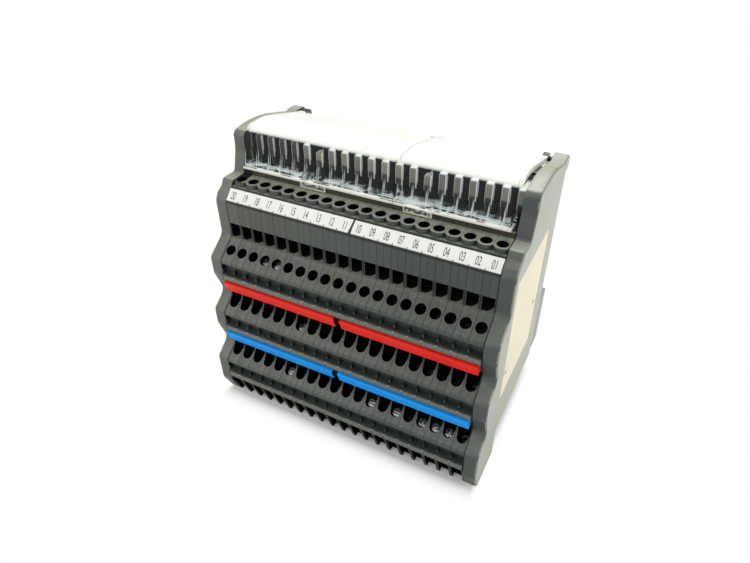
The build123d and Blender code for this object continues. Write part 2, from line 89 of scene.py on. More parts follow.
# A socket with arithmetic: each operator adds the Math node it needs
class Flow:
    def __init__(self, tree, socket):
        self.tree = tree
        self.socket = socket

    def calculate(self, operation, *others, clamp=False, swapped=False):
        node = self.tree.nodes.new("ShaderNodeMath")
        node.operation = operation
        node.use_clamp = clamp
        terms = [self, *others]
        if swapped:
            terms.reverse()
        for entry, term in zip(node.inputs, terms):
            if isinstance(term, Flow):
                self.tree.links.new(term.socket, entry)
            else:
                entry.default_value = term
        return Flow(self.tree, node.outputs[0])

    def __add__(self, other):
        return self.calculate("ADD", other)

    def __sub__(self, other):
        return self.calculate("SUBTRACT", other)

    def __rsub__(self, other):
        return self.calculate("SUBTRACT", other, swapped=True)

    def __mul__(self, other):
        return self.calculate("MULTIPLY", other)

    def __truediv__(self, other):
        return self.calculate("DIVIDE", other)

    __radd__ = __add__
    __rmul__ = __mul__

    def clamped(self):
        return self.calculate("ADD", 0.0, clamp=True)

    def floored(self):
        return self.calculate("FLOOR")

    def above(self, low, high):
        # 0 under low, 1 over high, straight between them
        return ((self - low) / (high - low)).clamped()

    def between(self, low, high, soft):
        return self.above(low - soft, low + soft) * (1 - self.above(high - soft, high + soft))

    def wrapped(self, span):
        # what is left over after whole spans
        return self - (self / span).floored() * span


# A node tree that is filled one node at a time, for finishes and for growing geometry alike
class Sheet:
    def __init__(self, tree, prefix):
        self.tree = tree
        self.prefix = prefix

    def add(self, kind, settings=None, sockets=None):
        shared = kind.startswith(("FunctionNode", "ShaderNode", "NodeGroup"))
        node = self.tree.nodes.new(kind if shared else self.prefix + kind)
        for key, value in (settings or {}).items():
            if key == "stops":
                ramp = node.color_ramp
                while len(ramp.elements) < len(value):
                    ramp.elements.new(1.0)
                for element, (place, colour) in zip(ramp.elements, value):
                    element.position = place
                    element.color = (*colour, 1)
            else:
                setattr(node, key, value)
        for key, value in (sockets or {}).items():
            entry = node.inputs[key]
            if isinstance(value, Flow):
                self.tree.links.new(value.socket, entry)
            elif isinstance(value, tuple) and entry.type == "RGBA" and len(value) == 3:
                entry.default_value = (*value, 1)
            else:
                entry.default_value = value
        return {output.name: Flow(self.tree, output) for output in node.outputs if output.enabled}


class Finish(Sheet):
    def __init__(self, name):
        self.material = bpy.data.materials.new(name)
        self.material.use_nodes = True
        super().__init__(self.material.node_tree, "ShaderNode")
        self.tree.nodes.clear()
        self.place = self.add("TexCoord")["Object"]
        axes = self.add("SeparateXYZ", {}, {"Vector": self.place})
        self.x, self.y, self.z = (axes[axis] for axis in "XYZ")

    def noise(self, scale, detail=3.0, stretch=(1, 1, 1), rough=0.5):
        stretched = self.add("Mapping", {}, {"Vector": self.place, "Scale": stretch})["Vector"]
        sockets = {"Vector": stretched, "Scale": scale, "Detail": detail, "Roughness": rough}
        return self.add("TexNoise", {}, sockets)["Fac"]

    def facing(self, axis):
        # from the piece's own axes, so the shades stay in place when a cover is opened
        return self.add("SeparateXYZ", {}, {"Vector": self.add("TexCoord")["Normal"]})[axis]

    def chance(self, value, seed):
        # a steady random number for each whole value
        sockets = {"Vector": self.add("CombineXYZ", {}, {"X": value, "Y": seed})["Vector"]}
        return self.add("TexWhiteNoise", {}, sockets)["Value"]

    def blend(self, factor, first, second):
        return self.add("Mix", {"data_type": "RGBA"}, {0: factor, 6: first, 7: second})["Result"]

    def bump(self, height, strength, distance):
        sockets = {"Height": height, "Strength": strength, "Distance": distance}
        return self.add("Bump", {}, sockets)["Normal"]

    def surface(self, sockets):
        return self.add("BsdfPrincipled", {}, sockets)["BSDF"]

    def close(self, shader):
        self.add("OutputMaterial", {}, {"Surface": shader})
        return self.material


def hexColour(text):
    # a colour as it shows on screen, made linear
    parts = [int(text[i:i + 2], 16) / 255 for i in (0, 2, 4)]
    return tuple(p / 12.92 if p <= 0.04045 else ((p + 0.055) / 1.055) ** 2.4 for p in parts)


# Moulded plastic: a soft cloud of two shades, fine grain, and painted light that makes what faces up paler
def mouldedPlastic(name, dark, light, rough=0.42, topLight=0.0, topLightColour="9a9d90", shades=None, grain=0.25):
    finish = Finish(name)
    cloud = finish.noise(45, 4)
    speck = finish.noise(900, 2)
    fine = finish.noise(2600, 2)
    colour = finish.blend((cloud * 1.6 - 0.3).clamped(), hexColour(dark), hexColour(light))
    if topLight:
        # painted light: faces that face up are painted paler, mottled a little
        up = finish.facing("Z")
        litFromAbove = (up.above(0.1, 0.85) * 0.3 + up.above(0.86, 0.97) * 0.7) * (speck * 0.3 + 0.85).clamped() * topLight
        colour = finish.blend(litFromAbove, colour, hexColour(topLightColour))
    if shades:
        colour = shades(finish, colour)
    return finish.close(finish.surface({
        "Base Color": colour,
        "Roughness": cloud * 0.16 + (rough - 0.08),
        "Normal": finish.bump(fine, grain, 0.00006),
    }))


# Pieces that come from the frame
def mergedMesh(*nodeNames):
    build = bmesh.new()
    for nodeName in nodeNames:
        build.from_mesh(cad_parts[nodeName].data)
    bmesh.ops.remove_doubles(build, verts=build.verts, dist=1e-6)
    bmesh.ops.dissolve_limit(build, angle_limit=math.radians(0.5), verts=build.verts, edges=build.edges)
    return build


def newObject(name, build, *materials):
    mesh = bpy.data.meshes.new(name)
    build.to_mesh(mesh)
    build.free()
    for material in materials:
        mesh.materials.append(material)
    piece = bpy.data.objects.new(name, mesh)
    bpy.context.collection.objects.link(piece)
    return piece


def makePlain(piece):
    # the evaluated shape becomes the mesh, and the modifiers go
    graph = bpy.context.evaluated_depsgraph_get()
    mesh = bpy.data.meshes.new_from_object(piece.evaluated_get(graph))
    piece.modifiers.clear()
    piece.data = mesh
    return piece


def roundEdges(piece, width, segments=2, angle=35):
    bevel = piece.modifiers.new("edges", "BEVEL")
    bevel.width = width
    bevel.segments = segments
    bevel.limit_method = "ANGLE"
    bevel.angle_limit = math.radians(angle)
    bevel.harden_normals = False


def dress(nodeName, material, edge=None, angle=35):
    # a CAD node keeps its mesh: it gets a finish, and rounded edges by live modifiers
    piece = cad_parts[nodeName]
    piece.data.materials.clear()
    piece.data.materials.append(material)
    if edge:
        weld = piece.modifiers.new("weld", "WELD")
        weld.merge_threshold = 1e-6
        flat = piece.modifiers.new("flat", "DECIMATE")
        flat.decimate_type = "DISSOLVE"
        flat.angle_limit = math.radians(0.5)
        roundEdges(piece, edge, angle=angle)


# Poles: one housing is cut into its two shells, its edges are rounded, and it is set out along the row
poles = {
    "source": "terminal_01",
    "split": 0.47,
    "shellSeam": 0.09 * mm,
    "poleSeam": 0.15 * mm,
    "edge": 0.13 * mm,
    "warmEnd": ("53564e", "5d5f57"),
    "shadedEnd": ("3b4441", "454d4a"),
    "inside": "070808",
    "shadeSpread": 0.5,
    "levelDrop": 27.0 * mm,
    "levelAdvance": 4.1 * mm,
    "noseFront": -19.3 * mm,
    "groove": (71.1 * mm, 77.3 * mm),
    "grooveFloor": 72.8 * mm,
    "labelShadow": (103.0 * mm, 104.2 * mm),
    "stepFace": (110.9 * mm, 113.3 * mm),
    "nibShade": 0.6,
    "underBar": (55.0 * mm, 60.0 * mm),
    "barShadow": (67.2 * mm, 68.5 * mm),
    "entryWalls": (86.6 * mm, 93.4 * mm),
}


def poleShades(finish, colour):
    along = (finish.x - row["start"]) / (row["count"] * row["pitch"])
    fromMiddle = (finish.x - row["start"]).wrapped(row["pitch"]) - row["pitch"] / 2
    fromJoint = row["pitch"] / 2 - fromMiddle.calculate("ABSOLUTE")
    speck = finish.noise(1100, 2)
    # each shell has a slightly different grey
    step = ((finish.x - row["start"]) / row["pitch"] * 2 + 0.06).floored()
    tint = (finish.chance(step, 3.0) - 0.35).clamped() * poles["shadeSpread"]
    colour = finish.blend(tint, colour, hexColour("39413e"))
    flecks = speck.above(0.68, 0.78) * finish.facing("Z").above(0.3, 0.6) * 0.45
    colour = finish.blend(flecks, colour, hexColour("b4b6a8"))
    # painted shade: the marker grooves are painted dark, the nibs in them less so
    front = 1 - (finish.y - row["depthShift"]).above(8 * mm, 9 * mm)
    level = ((81.5 * mm - finish.z) / poles["levelDrop"]).floored()
    z = finish.z + level * poles["levelDrop"]
    y = finish.y - row["depthShift"] + level * poles["levelAdvance"]
    deep = y.above(poles["noseFront"] + 0.1 * mm, poles["noseFront"] + 0.3 * mm)
    deep = deep.calculate("MAXIMUM", 1 - z.above(poles["grooveFloor"], poles["grooveFloor"] + 0.1 * mm))
    deep = deep.calculate("MAXIMUM", poles["nibShade"])
    groove = z.between(*poles["groove"], 0.1 * mm) * deep * front * level.above(-0.6, -0.4)
    streak = finish.noise(500, 3, stretch=(1, 0.2, 0.2))
    colour = finish.blend(groove * 0.93, colour, finish.blend(streak, hexColour("0e1412"), hexColour("27302d")))
    # painted light: the lip under each groove is painted paler, as a lit edge
    lip = z.between(68.3 * mm, 70.9 * mm, 0.1 * mm) * (1 - y.above(-19.0 * mm, -18.6 * mm)) * level.above(-0.6, -0.4)
    colour = finish.blend(lip * 0.45, colour, hexColour("8f9388"))
    # painted highlight at each joint along the lip, a painted shadow line above each bar and painted shade below it
    jointHighlight = z.between(70.5 * mm, 71.2 * mm, 0.08 * mm) * (1 - fromJoint.above(0.3 * mm, 0.45 * mm))
    colour = finish.blend(jointHighlight * front * level.above(-0.6, -0.4) * 0.75, colour, hexColour("c2c4b8"))
    barred = front * level.between(-0.5, 1.5, 0.1)
    under = z.above(*poles["underBar"]) * (1 - z.above(63.0 * mm, 63.4 * mm)) * 0.8
    under = under.calculate("MAXIMUM", z.between(*poles["barShadow"], 0.1 * mm) * 0.9)
    colour = finish.blend(under * barred, colour, hexColour("141716"))
    # painted shade on the walls between the wire entries, darker towards the top
    walls = finish.z.between(*poles["entryWalls"], 0.15 * mm) * (1 - fromJoint.above(0.7 * mm, 0.8 * mm)) * front
    walls = walls * (finish.z.above(86.0 * mm, 91.0 * mm) * 0.35 + 0.6)
    colour = finish.blend(walls, colour, hexColour("1d1f1c"))
    # painted shade: the collars' tops are painted darker than the shelf behind them and their walls darker still, and
    # the ledge is painted paler as if lit
    flat = finish.facing("Z").above(0.8, 0.9)
    depth = finish.y - row["depthShift"]
    ring = 1 - (fromMiddle * fromMiddle + depth * depth).calculate("SQRT").above(3.5 * mm, 3.65 * mm)
    tops = finish.z.between(110.6 * mm, 111.3 * mm, 0.1 * mm) * flat * front
    colour = finish.blend(tops * 0.75, colour, finish.blend(ring, hexColour("a09f8b"), hexColour("74776c")))
    skirt = finish.z.between(108.0 * mm, 110.7 * mm, 0.1 * mm) * ring * (1 - flat) * front
    colour = finish.blend(skirt * 0.7, colour, hexColour("353833"))
    ledge = finish.z.between(108.6 * mm, 109.3 * mm, 0.1 * mm) * flat * front
    colour = finish.blend(ledge * 0.5, colour, hexColour("9b9e92"))
    # painted shade on the shelf under the cover
    shelf = finish.z.between(112.9 * mm, 113.4 * mm, 0.05 * mm) * flat
    shelf = shelf * (finish.y - row["depthShift"]).above(6.6 * mm, 7.0 * mm)
    colour = finish.blend(shelf * 0.93, colour, hexColour("182022"))
    # painted shade on the fins between the lowest wire entries
    fins = finish.z.between(2.6 * mm, 13.3 * mm, 0.3 * mm) * front
    colour = finish.blend(fins * 0.88, colour, hexColour("121513"))
    # painted shade: the pocket at the left end of the step is painted black
    pocket = finish.z.between(*poles["stepFace"], 0.1 * mm) * front * (1 - along.above(0.038, 0.04))
    # painted shade, too, on the step under the cover, as a shadow line under the labels and in the gaps at the ends of
    # the row
    step = finish.z.between(*poles["stepFace"], 0.1 * mm) * (1 - finish.facing("Z").above(0.3, 0.6))
    colour = finish.blend(step * front * 0.7, colour, hexColour("3c392b"))
    shadow = (finish.z.between(*poles["labelShadow"], 0.1 * mm) * front * 0.9).calculate("MAXIMUM", pocket)
    ends = 1 - (along * row["count"]).between(0.09, row["count"] - 0.06, 0.02)
    colour = finish.blend(shadow.calculate("MAXIMUM", ends), colour, hexColour("0e1110"))
    return colour


def housingPlastic():
    def shades(finish, colour):
        # painted shade: faces that don't face up are painted darker towards the right end of the row
        along = (finish.x - row["start"]) / (row["count"] * row["pitch"])
        cloud = finish.noise(45, 4)
        shaded = finish.blend(cloud, *(hexColour(shade) for shade in poles["shadedEnd"]))
        side = finish.facing("Z").above(0.1, 0.9) * 0.8
        colour = finish.blend(along.above(0.0, 0.75) * (1 - side), colour, shaded)
        return poleShades(finish, colour)
    return mouldedPlastic("housing", *poles["warmEnd"], 0.40, topLight=0.85, topLightColour="94978a", shades=shades)


housingFinish = housingPlastic()


def insideShading():
    # painted shade: near black, but for a painted pool of light on the corner of each wire entry's sill
    finish = Finish("inside")
    local = (finish.x - row["start"]).wrapped(row["pitch"])
    reach = ((local - 2.2 * mm) / (3.4 * mm)).clamped()
    inward = finish.y - row["depthShift"] + 9.3 * mm
    sill = finish.z.between(85.5 * mm, 88.6 * mm, 0.1 * mm)
    lit = (reach * reach * (3.0 * mm) - inward).above(-0.1 * mm, 0.15 * mm) * sill
    colour = finish.blend(lit, hexColour(poles["inside"]), hexColour("6f7268"))
    # the walls between the plugs: a painted highlight at the left edge, grey where a plug shines through at the right
    face = (0 - finish.facing("Y")).above(0.5, 0.8) * finish.z.between(120.4 * mm, 126.4 * mm, 0.3 * mm)
    late = ((finish.x - row["start"]) / row["pitch"]).above(3.9, 4.0)
    colour = finish.blend(local.above(2.1 * mm, 2.2 * mm) * face * late, colour, hexColour("757369"))
    edge = (1 - local.above(0.25 * mm, 0.32 * mm)) * face
    colour = finish.blend(edge, colour, hexColour("dfe1da"))
    return finish.close(finish.surface({
        "Base Color": colour,
        "Roughness": finish.noise(300, 2) * 0.1 + 0.85,
        "Specular IOR Level": 0.08,
    }))


insideFinish = insideShading()

# Where the inside of a pole begins, in the pole's own millimetres
openings = {
    "collar": (3.1, 0.0, 2.3, 98.0, 110.8),
    "holeRadius": 2.32,
    "slopeHoles": ((-14.67, 82.42), (-18.76, 55.48), (-22.86, 28.48)),
    "slopeTilts": ((9.9, 7.3), (8.4, 6.3), (8.4, 6.3)),
    "holeDepth": 8.1,
    "entry": ((0.5, 5.7), (-9.2, 2.7), (86.2, 93.25)),
    "sill": ((0.75, 5.45), (-11.5, -2.0), (86.2, 93.25)),
    "cups": (((0.45, 5.75), (-16.4, -6.9), (54.4, 61.9)), ((0.45, 5.75), (-20.5, -11.0), (27.4, 34.9))),
    "baseEntry": ((0.55, 5.65), (-26.5, -15.4), (-0.1, 13.45)),
    "pocket": ((-0.1, 6.3), (6.5, 29.0), (113.4, 127.6)),
    "round": 28,
    "cupCentres": ((-15.0, 57.1, 61.9), (-19.1, 30.1, 34.9)),
    "cupRadius": 2.78,
    "cupLength": 15.8,
    "slopeRadius": 2.42,
    "collarRadius": 2.38,
}

# The collar as a true round, and the ledge between it and the label
collar = {"radius": 3.6, "low": 106.5, "top": 111.0, "ledge": ((-4.0, 0.5), (106.0, 108.9)), "holeDepth": 11.5}


def insideBox(point, box):
    return all(low <= value <= high for value, (low, high) in zip(point, box))


def isInside(point):
    x, y, z = point
    centreX, centreY, radius, low, high = openings["collar"]
    if low < z < high and math.hypot(x - centreX, y - centreY) < radius:
        return True
    for (holeY, holeZ), (run, rise) in zip(openings["slopeHoles"], openings["slopeTilts"]):
        along = Vector((run, rise)).normalized()
        offset = Vector((y - holeY, z - holeZ))
        depth = offset.x * along.y - offset.y * along.x
        aside = math.hypot(x - centreX, offset.dot(along))
        if 0.2 < depth < openings["holeDepth"] and aside < openings["holeRadius"]:
            return True
    boxes = [openings["entry"], openings["sill"], openings["baseEntry"], openings["pocket"], *openings["cups"]]
    return any(insideBox(point, box) for box in boxes)


def roundTool(name, place, axis, radius, length, materialIndex):
    # a cylinder about an axis, in the pole's own millimetres
    build = bmesh.new()
    bmesh.ops.create_cone(
        build, cap_ends=True, segments=openings["round"], radius1=radius, radius2=radius, depth=length)
    turn = Vector(axis).to_track_quat("Z", "Y").to_matrix().to_4x4()
    matrix = Matrix.Scale(mm, 4) @ Matrix.Translation(place) @ turn
    bmesh.ops.transform(build, verts=build.verts, matrix=matrix)
    for face in build.faces:
        face.material_index = materialIndex
    return newObject(name, build, housingFinish, insideFinish)


def blockTool(name, xSpan, ySpan, zSpan, materialIndex=0):
    build = bmesh.new()
    bmesh.ops.create_cube(build, size=1.0)
    spans = (xSpan, ySpan, zSpan)
    size = Matrix.Diagonal((*((high - low) * mm for low, high in spans), 1))
    middle = Matrix.Translation([(high + low) / 2 * mm for low, high in spans])
    bmesh.ops.transform(build, verts=build.verts, matrix=middle @ size)
    for face in build.faces:
        face.material_index = materialIndex
    return newObject(name, build, housingFinish, insideFinish)


def poleShell():
    build = mergedMesh(poles["source"])
    bmesh.ops.translate(build, verts=build.verts, vec=(-row["start"], -row["depthShift"], 0))
    for face in build.faces:
        face.material_index = 1 if isInside(face.calc_center_median() / mm) else 0
    shell = newObject("poleSource", build, housingFinish, insideFinish)
    pitch = row["pitch"] / mm
    centre = pitch / 2
    ledgeY, ledgeZ = collar["ledge"]
    seam = poles["split"] * pitch, poles["shellSeam"] / mm / 2
    middle = (collar["low"] + collar["top"]) / 2
    tools = [
        ("UNION", blockTool("ledge", (0.0, pitch), ledgeY, ledgeZ)),
        ("UNION", roundTool("collar", (centre, 0, middle), (0, 0, 1), collar["radius"],
                            collar["top"] - collar["low"], 0)),
        ("INTERSECT", blockTool("width", (0.004, pitch - 0.004), (-60, 100), (-20, 160))),
        ("DIFFERENCE", roundTool("collarHole", (centre, 0, collar["top"]), (0, 0, 1),
                                 openings["collarRadius"], 2 * collar["holeDepth"], 1)),
    ]
    for (holeY, holeZ), (run, rise) in zip(openings["slopeHoles"], openings["slopeTilts"]):
        axis = (0, -rise, run)
        tools.append(("DIFFERENCE", roundTool(
            "slopeHole", (centre, holeY, holeZ), axis, openings["slopeRadius"], 2 * openings["holeDepth"], 1)))
    for cupY, cupZ, topZ in openings["cupCentres"]:
        reach = openings["cupRadius"]
        span = (cupY - openings["cupLength"] / 2, cupY + openings["cupLength"] / 2)
        tools.append(("DIFFERENCE", roundTool(
            "cup", (centre, cupY, cupZ), (0, 1, 0), reach, openings["cupLength"], 1)))
        tools.append(("DIFFERENCE", blockTool("cupTop", (centre - reach, centre + reach), span, (cupZ, topZ), 1)))
    tools.append(("DIFFERENCE", blockTool(
        "knife", (seam[0] - seam[1], seam[0] + seam[1]), (-60, 100), (-20, 160))))
    for operation, tool in tools:
        cut = shell.modifiers.new(tool.name, "BOOLEAN")
        cut.operation = operation
        cut.solver = "EXACT"
        cut.object = tool
    roundEdges(shell, poles["edge"], segments=1, angle=40)
    makePlain(shell)
    for operation, tool in tools:
        bpy.data.objects.remove(tool)
    squeeze = Matrix.Diagonal(((row["pitch"] - poles["poleSeam"]) / row["pitch"], 1, 1, 1))
    shell.data.transform(Matrix.Translation((poles["poleSeam"] / 2, 0, 0)) @ squeeze)
    return shell


# A geometry tree with named inputs, run once on a piece
class Growth(Sheet):
    def __init__(self, name, inputs):
        tree = bpy.data.node_groups.new(name, "GeometryNodeTree")
        super().__init__(tree, "GeometryNode")
        tree.interface.new_socket("Geometry", in_out="INPUT", socket_type="NodeSocketGeometry")
        tree.interface.new_socket("Geometry", in_out="OUTPUT", socket_type="NodeSocketGeometry")
        self.names = {}
        for label, kind in inputs.items():
            entry = tree.interface.new_socket(label, in_out="INPUT", socket_type="NodeSocket" + kind)
            self.names[label] = entry.identifier
        self.given = self.add("NodeGroupInput")

    def close(self, geometry):
        self.add("NodeGroupOutput", {}, {"Geometry": geometry})
        return self

    def grow(self, piece, values):
        modifier = piece.modifiers.new("growth", "NODES")
        modifier.node_group = self.tree
        for label, value in values.items():
            modifier[self.names[label]] = value
        return makePlain(piece)


def rowGrowth():
    growth = Growth("row_of_poles", {
        "Pole": "Object", "Count": "Int", "Pitch": "Float", "Start": "Vector",
        "Housing": "Material", "Inside": "Material",
    })
    given = growth.given
    step = growth.add("ShaderNodeCombineXYZ", {}, {"X": given["Pitch"]})["Vector"]
    line = growth.add("MeshLine", {}, {
        "Count": given["Count"], "Start Location": given["Start"], "Offset": step})["Mesh"]
    source = growth.add("ObjectInfo", {"transform_space": "ORIGINAL"}, {"Object": given["Pole"]})["Geometry"]
    copies = growth.add("InstanceOnPoints", {}, {"Points": line, "Instance": source})["Instances"]
    real = growth.add("RealizeInstances", {}, {"Geometry": copies})["Geometry"]
    dark = growth.add("MaterialSelection", {}, {"Material": given["Inside"]})["Selection"]
    outer = growth.add("FunctionNodeBooleanMath", {"operation": "NOT"}, {0: dark})["Boolean"]
    return growth.close(growth.add("SetMaterial", {}, {
        "Geometry": real, "Selection": outer, "Material": given["Housing"]})["Geometry"])


def buildPoles():
    shell = poleShell()
    piece = newObject("poles", bmesh.new(), housingFinish, insideFinish)
    rowGrowth().grow(piece, {
        "Pole": shell, "Count": row["count"], "Pitch": row["pitch"],
        "Start": (row["start"], row["depthShift"], 0.0),
        "Housing": housingFinish, "Inside": insideFinish,
    })
    bpy.data.objects.remove(shell)
    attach(piece, "block")
    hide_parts(*[f"terminal_{number + 1:02d}" for number in range(row["count"])])
    return piece


polePiece = buildPoles()
print("poles built, triangles:", sum(len(face.vertices) - 2 for face in polePiece.data.polygons))


# Clamp screws: a slotted head, set on the place and along the axis of each CAD screw
screws = {
    "radius": 1.95 * mm,
    "sides": 20,
    "length": 3.9 * mm,
    "chamfer": 0.3 * mm,
    "slotWidth": 0.7 * mm,
    "slotDepth": 0.9 * mm,
    "seed": 5,
    "raisedShare": 0.4,
    "crescent": (1.7 * mm, 0.5 * mm),
    # how much deeper each level's screws are seen than the solids
    "nodes": {
        "clamp_screws_upper": 1.0 * mm,
        "clamp_screws_first": 2.6 * mm,
        "clamp_screws_second": 4.0 * mm,
        "clamp_screws_third": 3.4 * mm,
    },
}


def zincFinish(name, dark, light, metallic=1.0, crescents=()):
    finish = Finish(name)
    brushed = finish.noise(700, 3, stretch=(1, 1, 6))
    colour = finish.blend(brushed, hexColour(dark), hexColour(light))
    if crescents:
        # painted light and shade: of a raised head only the lower edge is painted lit, the rest is painted dark as in
        # shade
        below, above = screws["crescent"]
        lit = finish.x * 0.0
        for height in crescents:
            lit = lit.calculate("MAXIMUM", finish.z.between(height - below, height - above, 0.1 * mm))
        colour = finish.blend(lit, hexColour("101213"), colour)
    return finish.close(finish.surface({
        "Base Color": colour,
        "Metallic": metallic,
        "Roughness": brushed * 0.2 + 0.25,
        "Normal": finish.bump(brushed, 0.3, 0.00004),
    }))


def screwSource(material):
    build = bmesh.new()
    body = bmesh.ops.create_cone(
        build, cap_ends=True, segments=screws["sides"],
        radius1=screws["radius"], radius2=screws["radius"], depth=screws["length"])
    bmesh.ops.translate(build, verts=body["verts"], vec=(0, 0, -screws["length"] / 2))
    head = newObject("screwSource", build, material)
    slotBuild = bmesh.new()
    bmesh.ops.create_cube(slotBuild, size=1.0)
    size = Matrix.Diagonal((3 * screws["radius"], screws["slotWidth"], 2 * screws["slotDepth"], 1))
    bmesh.ops.transform(slotBuild, verts=slotBuild.verts, matrix=size)
    slotPiece = newObject("slotSource", slotBuild, material)
    cut = head.modifiers.new("slot", "BOOLEAN")
    cut.operation = "DIFFERENCE"
    cut.solver = "EXACT"
    cut.object = slotPiece
    roundEdges(head, screws["chamfer"] / 2, segments=1, angle=50)
    makePlain(head)
    bpy.data.objects.remove(slotPiece)
    return head


def screwPlaces():
    # head centre and axis of each loose solid of the screw nodes
    places = []
    for nodeName, extraSink in screws["nodes"].items():
        build = mergedMesh(nodeName)
        level = []
        left = set(build.verts)
        while left:
            island, front = set(), [left.pop()]
            while front:
                vert = front.pop()
                island.add(vert)
                for edge in vert.link_edges:
                    other = edge.other_vert(vert)
                    if other in left:
                        left.discard(other)
                        front.append(other)
            caps = [face for face in {f for v in island for f in v.link_faces} if len(face.verts) > 4]
            head = max(caps, key=lambda face: face.calc_center_median().z)
            level.append((head.calc_center_median(), head.normal.copy()))
        deepest = min(place.dot(axis) for place, axis in level)
        for place, axis in level:
            raised = place.dot(axis) > deepest + mm
            sink = extraSink * (screws["raisedShare"] if raised else 1)
            places.append((place - axis * sink, axis, raised))
        build.free()
    return places


def screwGrowth():
    growth = Growth("screws_in_their_holes", {
        "Screw": "Object", "Seed": "Int", "Bright": "Material", "Dark": "Material"})
    given = growth.given
    raised = growth.add("InputNamedAttribute", {"data_type": "BOOLEAN"}, {"Name": "raised"})["Attribute"]
    axis = growth.add("InputNamedAttribute", {"data_type": "FLOAT_VECTOR"}, {"Name": "axis"})["Attribute"]
    upright = growth.add("FunctionNodeAlignRotationToVector", {"axis": "Z"}, {"Vector": axis})["Rotation"]
    angle = growth.add("FunctionNodeRandomValue", {"data_type": "FLOAT"}, {3: math.pi, "Seed": given["Seed"]})["Value"]
    spin = growth.add("ShaderNodeCombineXYZ", {}, {"Z": angle})["Vector"]
    turn = growth.add("FunctionNodeEulerToRotation", {}, {"Euler": spin})["Rotation"]
    turned = growth.add("FunctionNodeRotateRotation", {"rotation_space": "LOCAL"}, {
        "Rotation": upright, "Rotate By": turn})["Rotation"]
    source = growth.add("ObjectInfo", {"transform_space": "ORIGINAL"}, {"Object": given["Screw"]})["Geometry"]
    copies = growth.add("InstanceOnPoints", {}, {
        "Points": given["Geometry"], "Instance": source, "Rotation": turned})["Instances"]
    real = growth.add("RealizeInstances", {}, {"Geometry": copies})["Geometry"]
    bright = growth.add("SetMaterial", {}, {"Geometry": real, "Material": given["Bright"]})["Geometry"]
    sunk = growth.add("FunctionNodeBooleanMath", {"operation": "NOT"}, {0: raised})["Boolean"]
    return growth.close(growth.add("SetMaterial", {}, {
        "Geometry": bright, "Selection": sunk, "Material": given["Dark"]})["Geometry"])


def buildScrews():
    places = screwPlaces()
    crescents = sorted({round(place.z, 5) for place, axis, raised in places if raised})
    print("heights of the raised screws:", crescents)
    bright = zincFinish("zinc", "dfe5e6", "fafdfd", 0.15, crescents)
    # painted shade: the sunk screws get a dark copy of the zinc
    dark = zincFinish("zinc_sunk", "101211", "202321", 0.4)
    source = screwSource(bright)
    mesh = bpy.data.meshes.new("screws")
    mesh.from_pydata([place for place, axis, raised in places], [], [])
    axes = mesh.attributes.new("axis", "FLOAT_VECTOR", "POINT")
    flags = mesh.attributes.new("raised", "BOOLEAN", "POINT")
    for entry, flag, (place, axis, raised) in zip(axes.data, flags.data, places):
        entry.vector = axis
        flag.value = raised
    piece = bpy.data.objects.new("screws", mesh)
    bpy.context.collection.objects.link(piece)
    screwGrowth().grow(piece, {"Screw": source, "Seed": screws["seed"], "Bright": bright, "Dark": dark})
    bpy.data.objects.remove(source)
    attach(piece, "block")
    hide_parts(*screws["nodes"])
    return len(places)


print("screws built:", buildScrews())


# Plugs: the first four are dark, the rest are grey above and dark below, each with a painted highlight along its right
# edge
plugs = {"edge": 0.18 * mm, "dark": 3.5, "split": 120.6 * mm, "slot": 3.05 * mm, "highlightEdge": 5.7 * mm,
         "capTop": 125.2 * mm}


def plugShades(finish, colour):
    index = ((finish.x - row["start"]) / row["pitch"]).floored()
    local = (finish.x - row["start"]).wrapped(row["pitch"])
    chance = finish.chance(index, 8.0)
    late = index.above(plugs["dark"] - 0.1, plugs["dark"] + 0.1)
    low = plugs["split"] + (chance - 0.5) * (1.6 * mm)
    upper = (finish.z - low).above(-0.4 * mm, 0.5 * mm)
    grey = finish.blend(chance, hexColour("69675e"), hexColour("84827a"))
    colour = finish.blend(late * upper, colour, grey)
    brown = index.between(0.5, 1.5, 0.1).calculate("MAXIMUM", index.between(2.5, 3.5, 0.1))
    colour = finish.blend(brown * upper * 0.6, colour, hexColour("2c241a"))
    # painted highlight on the tops of the grey plugs' caps
    cap = finish.facing("Z").above(0.5, 0.8) * finish.z.above(plugs["capTop"] - 0.1 * mm, plugs["capTop"] + 0.1 * mm)
    colour = finish.blend(cap * late, colour, hexColour("d9dbd0"))
    # painted highlight along the right edge of each plug
    paintedLight = local.above(plugs["highlightEdge"] - 0.05 * mm, plugs["highlightEdge"] + 0.05 * mm)
    colour = finish.blend(paintedLight * (late * 0.35 + 0.6), colour, hexColour("eef0ea"))
    # painted highlight on the rim beside the slot, and painted shade in the slot
    rim = local.between(plugs["slot"], plugs["slot"] + 0.28 * mm, 0.05 * mm)
    colour = finish.blend(rim * 0.7, colour, hexColour("b4b6ad"))
    slot = 1 - local.above(plugs["slot"] - 0.05 * mm, plugs["slot"] + 0.05 * mm)
    return finish.blend(slot, colour, hexColour("090a09"))


def buildPlugs():
    finish = mouldedPlastic("plug", "0c0c0a", "151512", 0.36, shades=plugShades)
    for number in range(row["count"]):
        dress(f"plug_{number + 1:02d}", finish, plugs["edge"])


buildPlugs()
print("plugs dressed")


# Cross bars: glossy insulated strips with soft edges
bars = {"edge": 0.35 * mm}


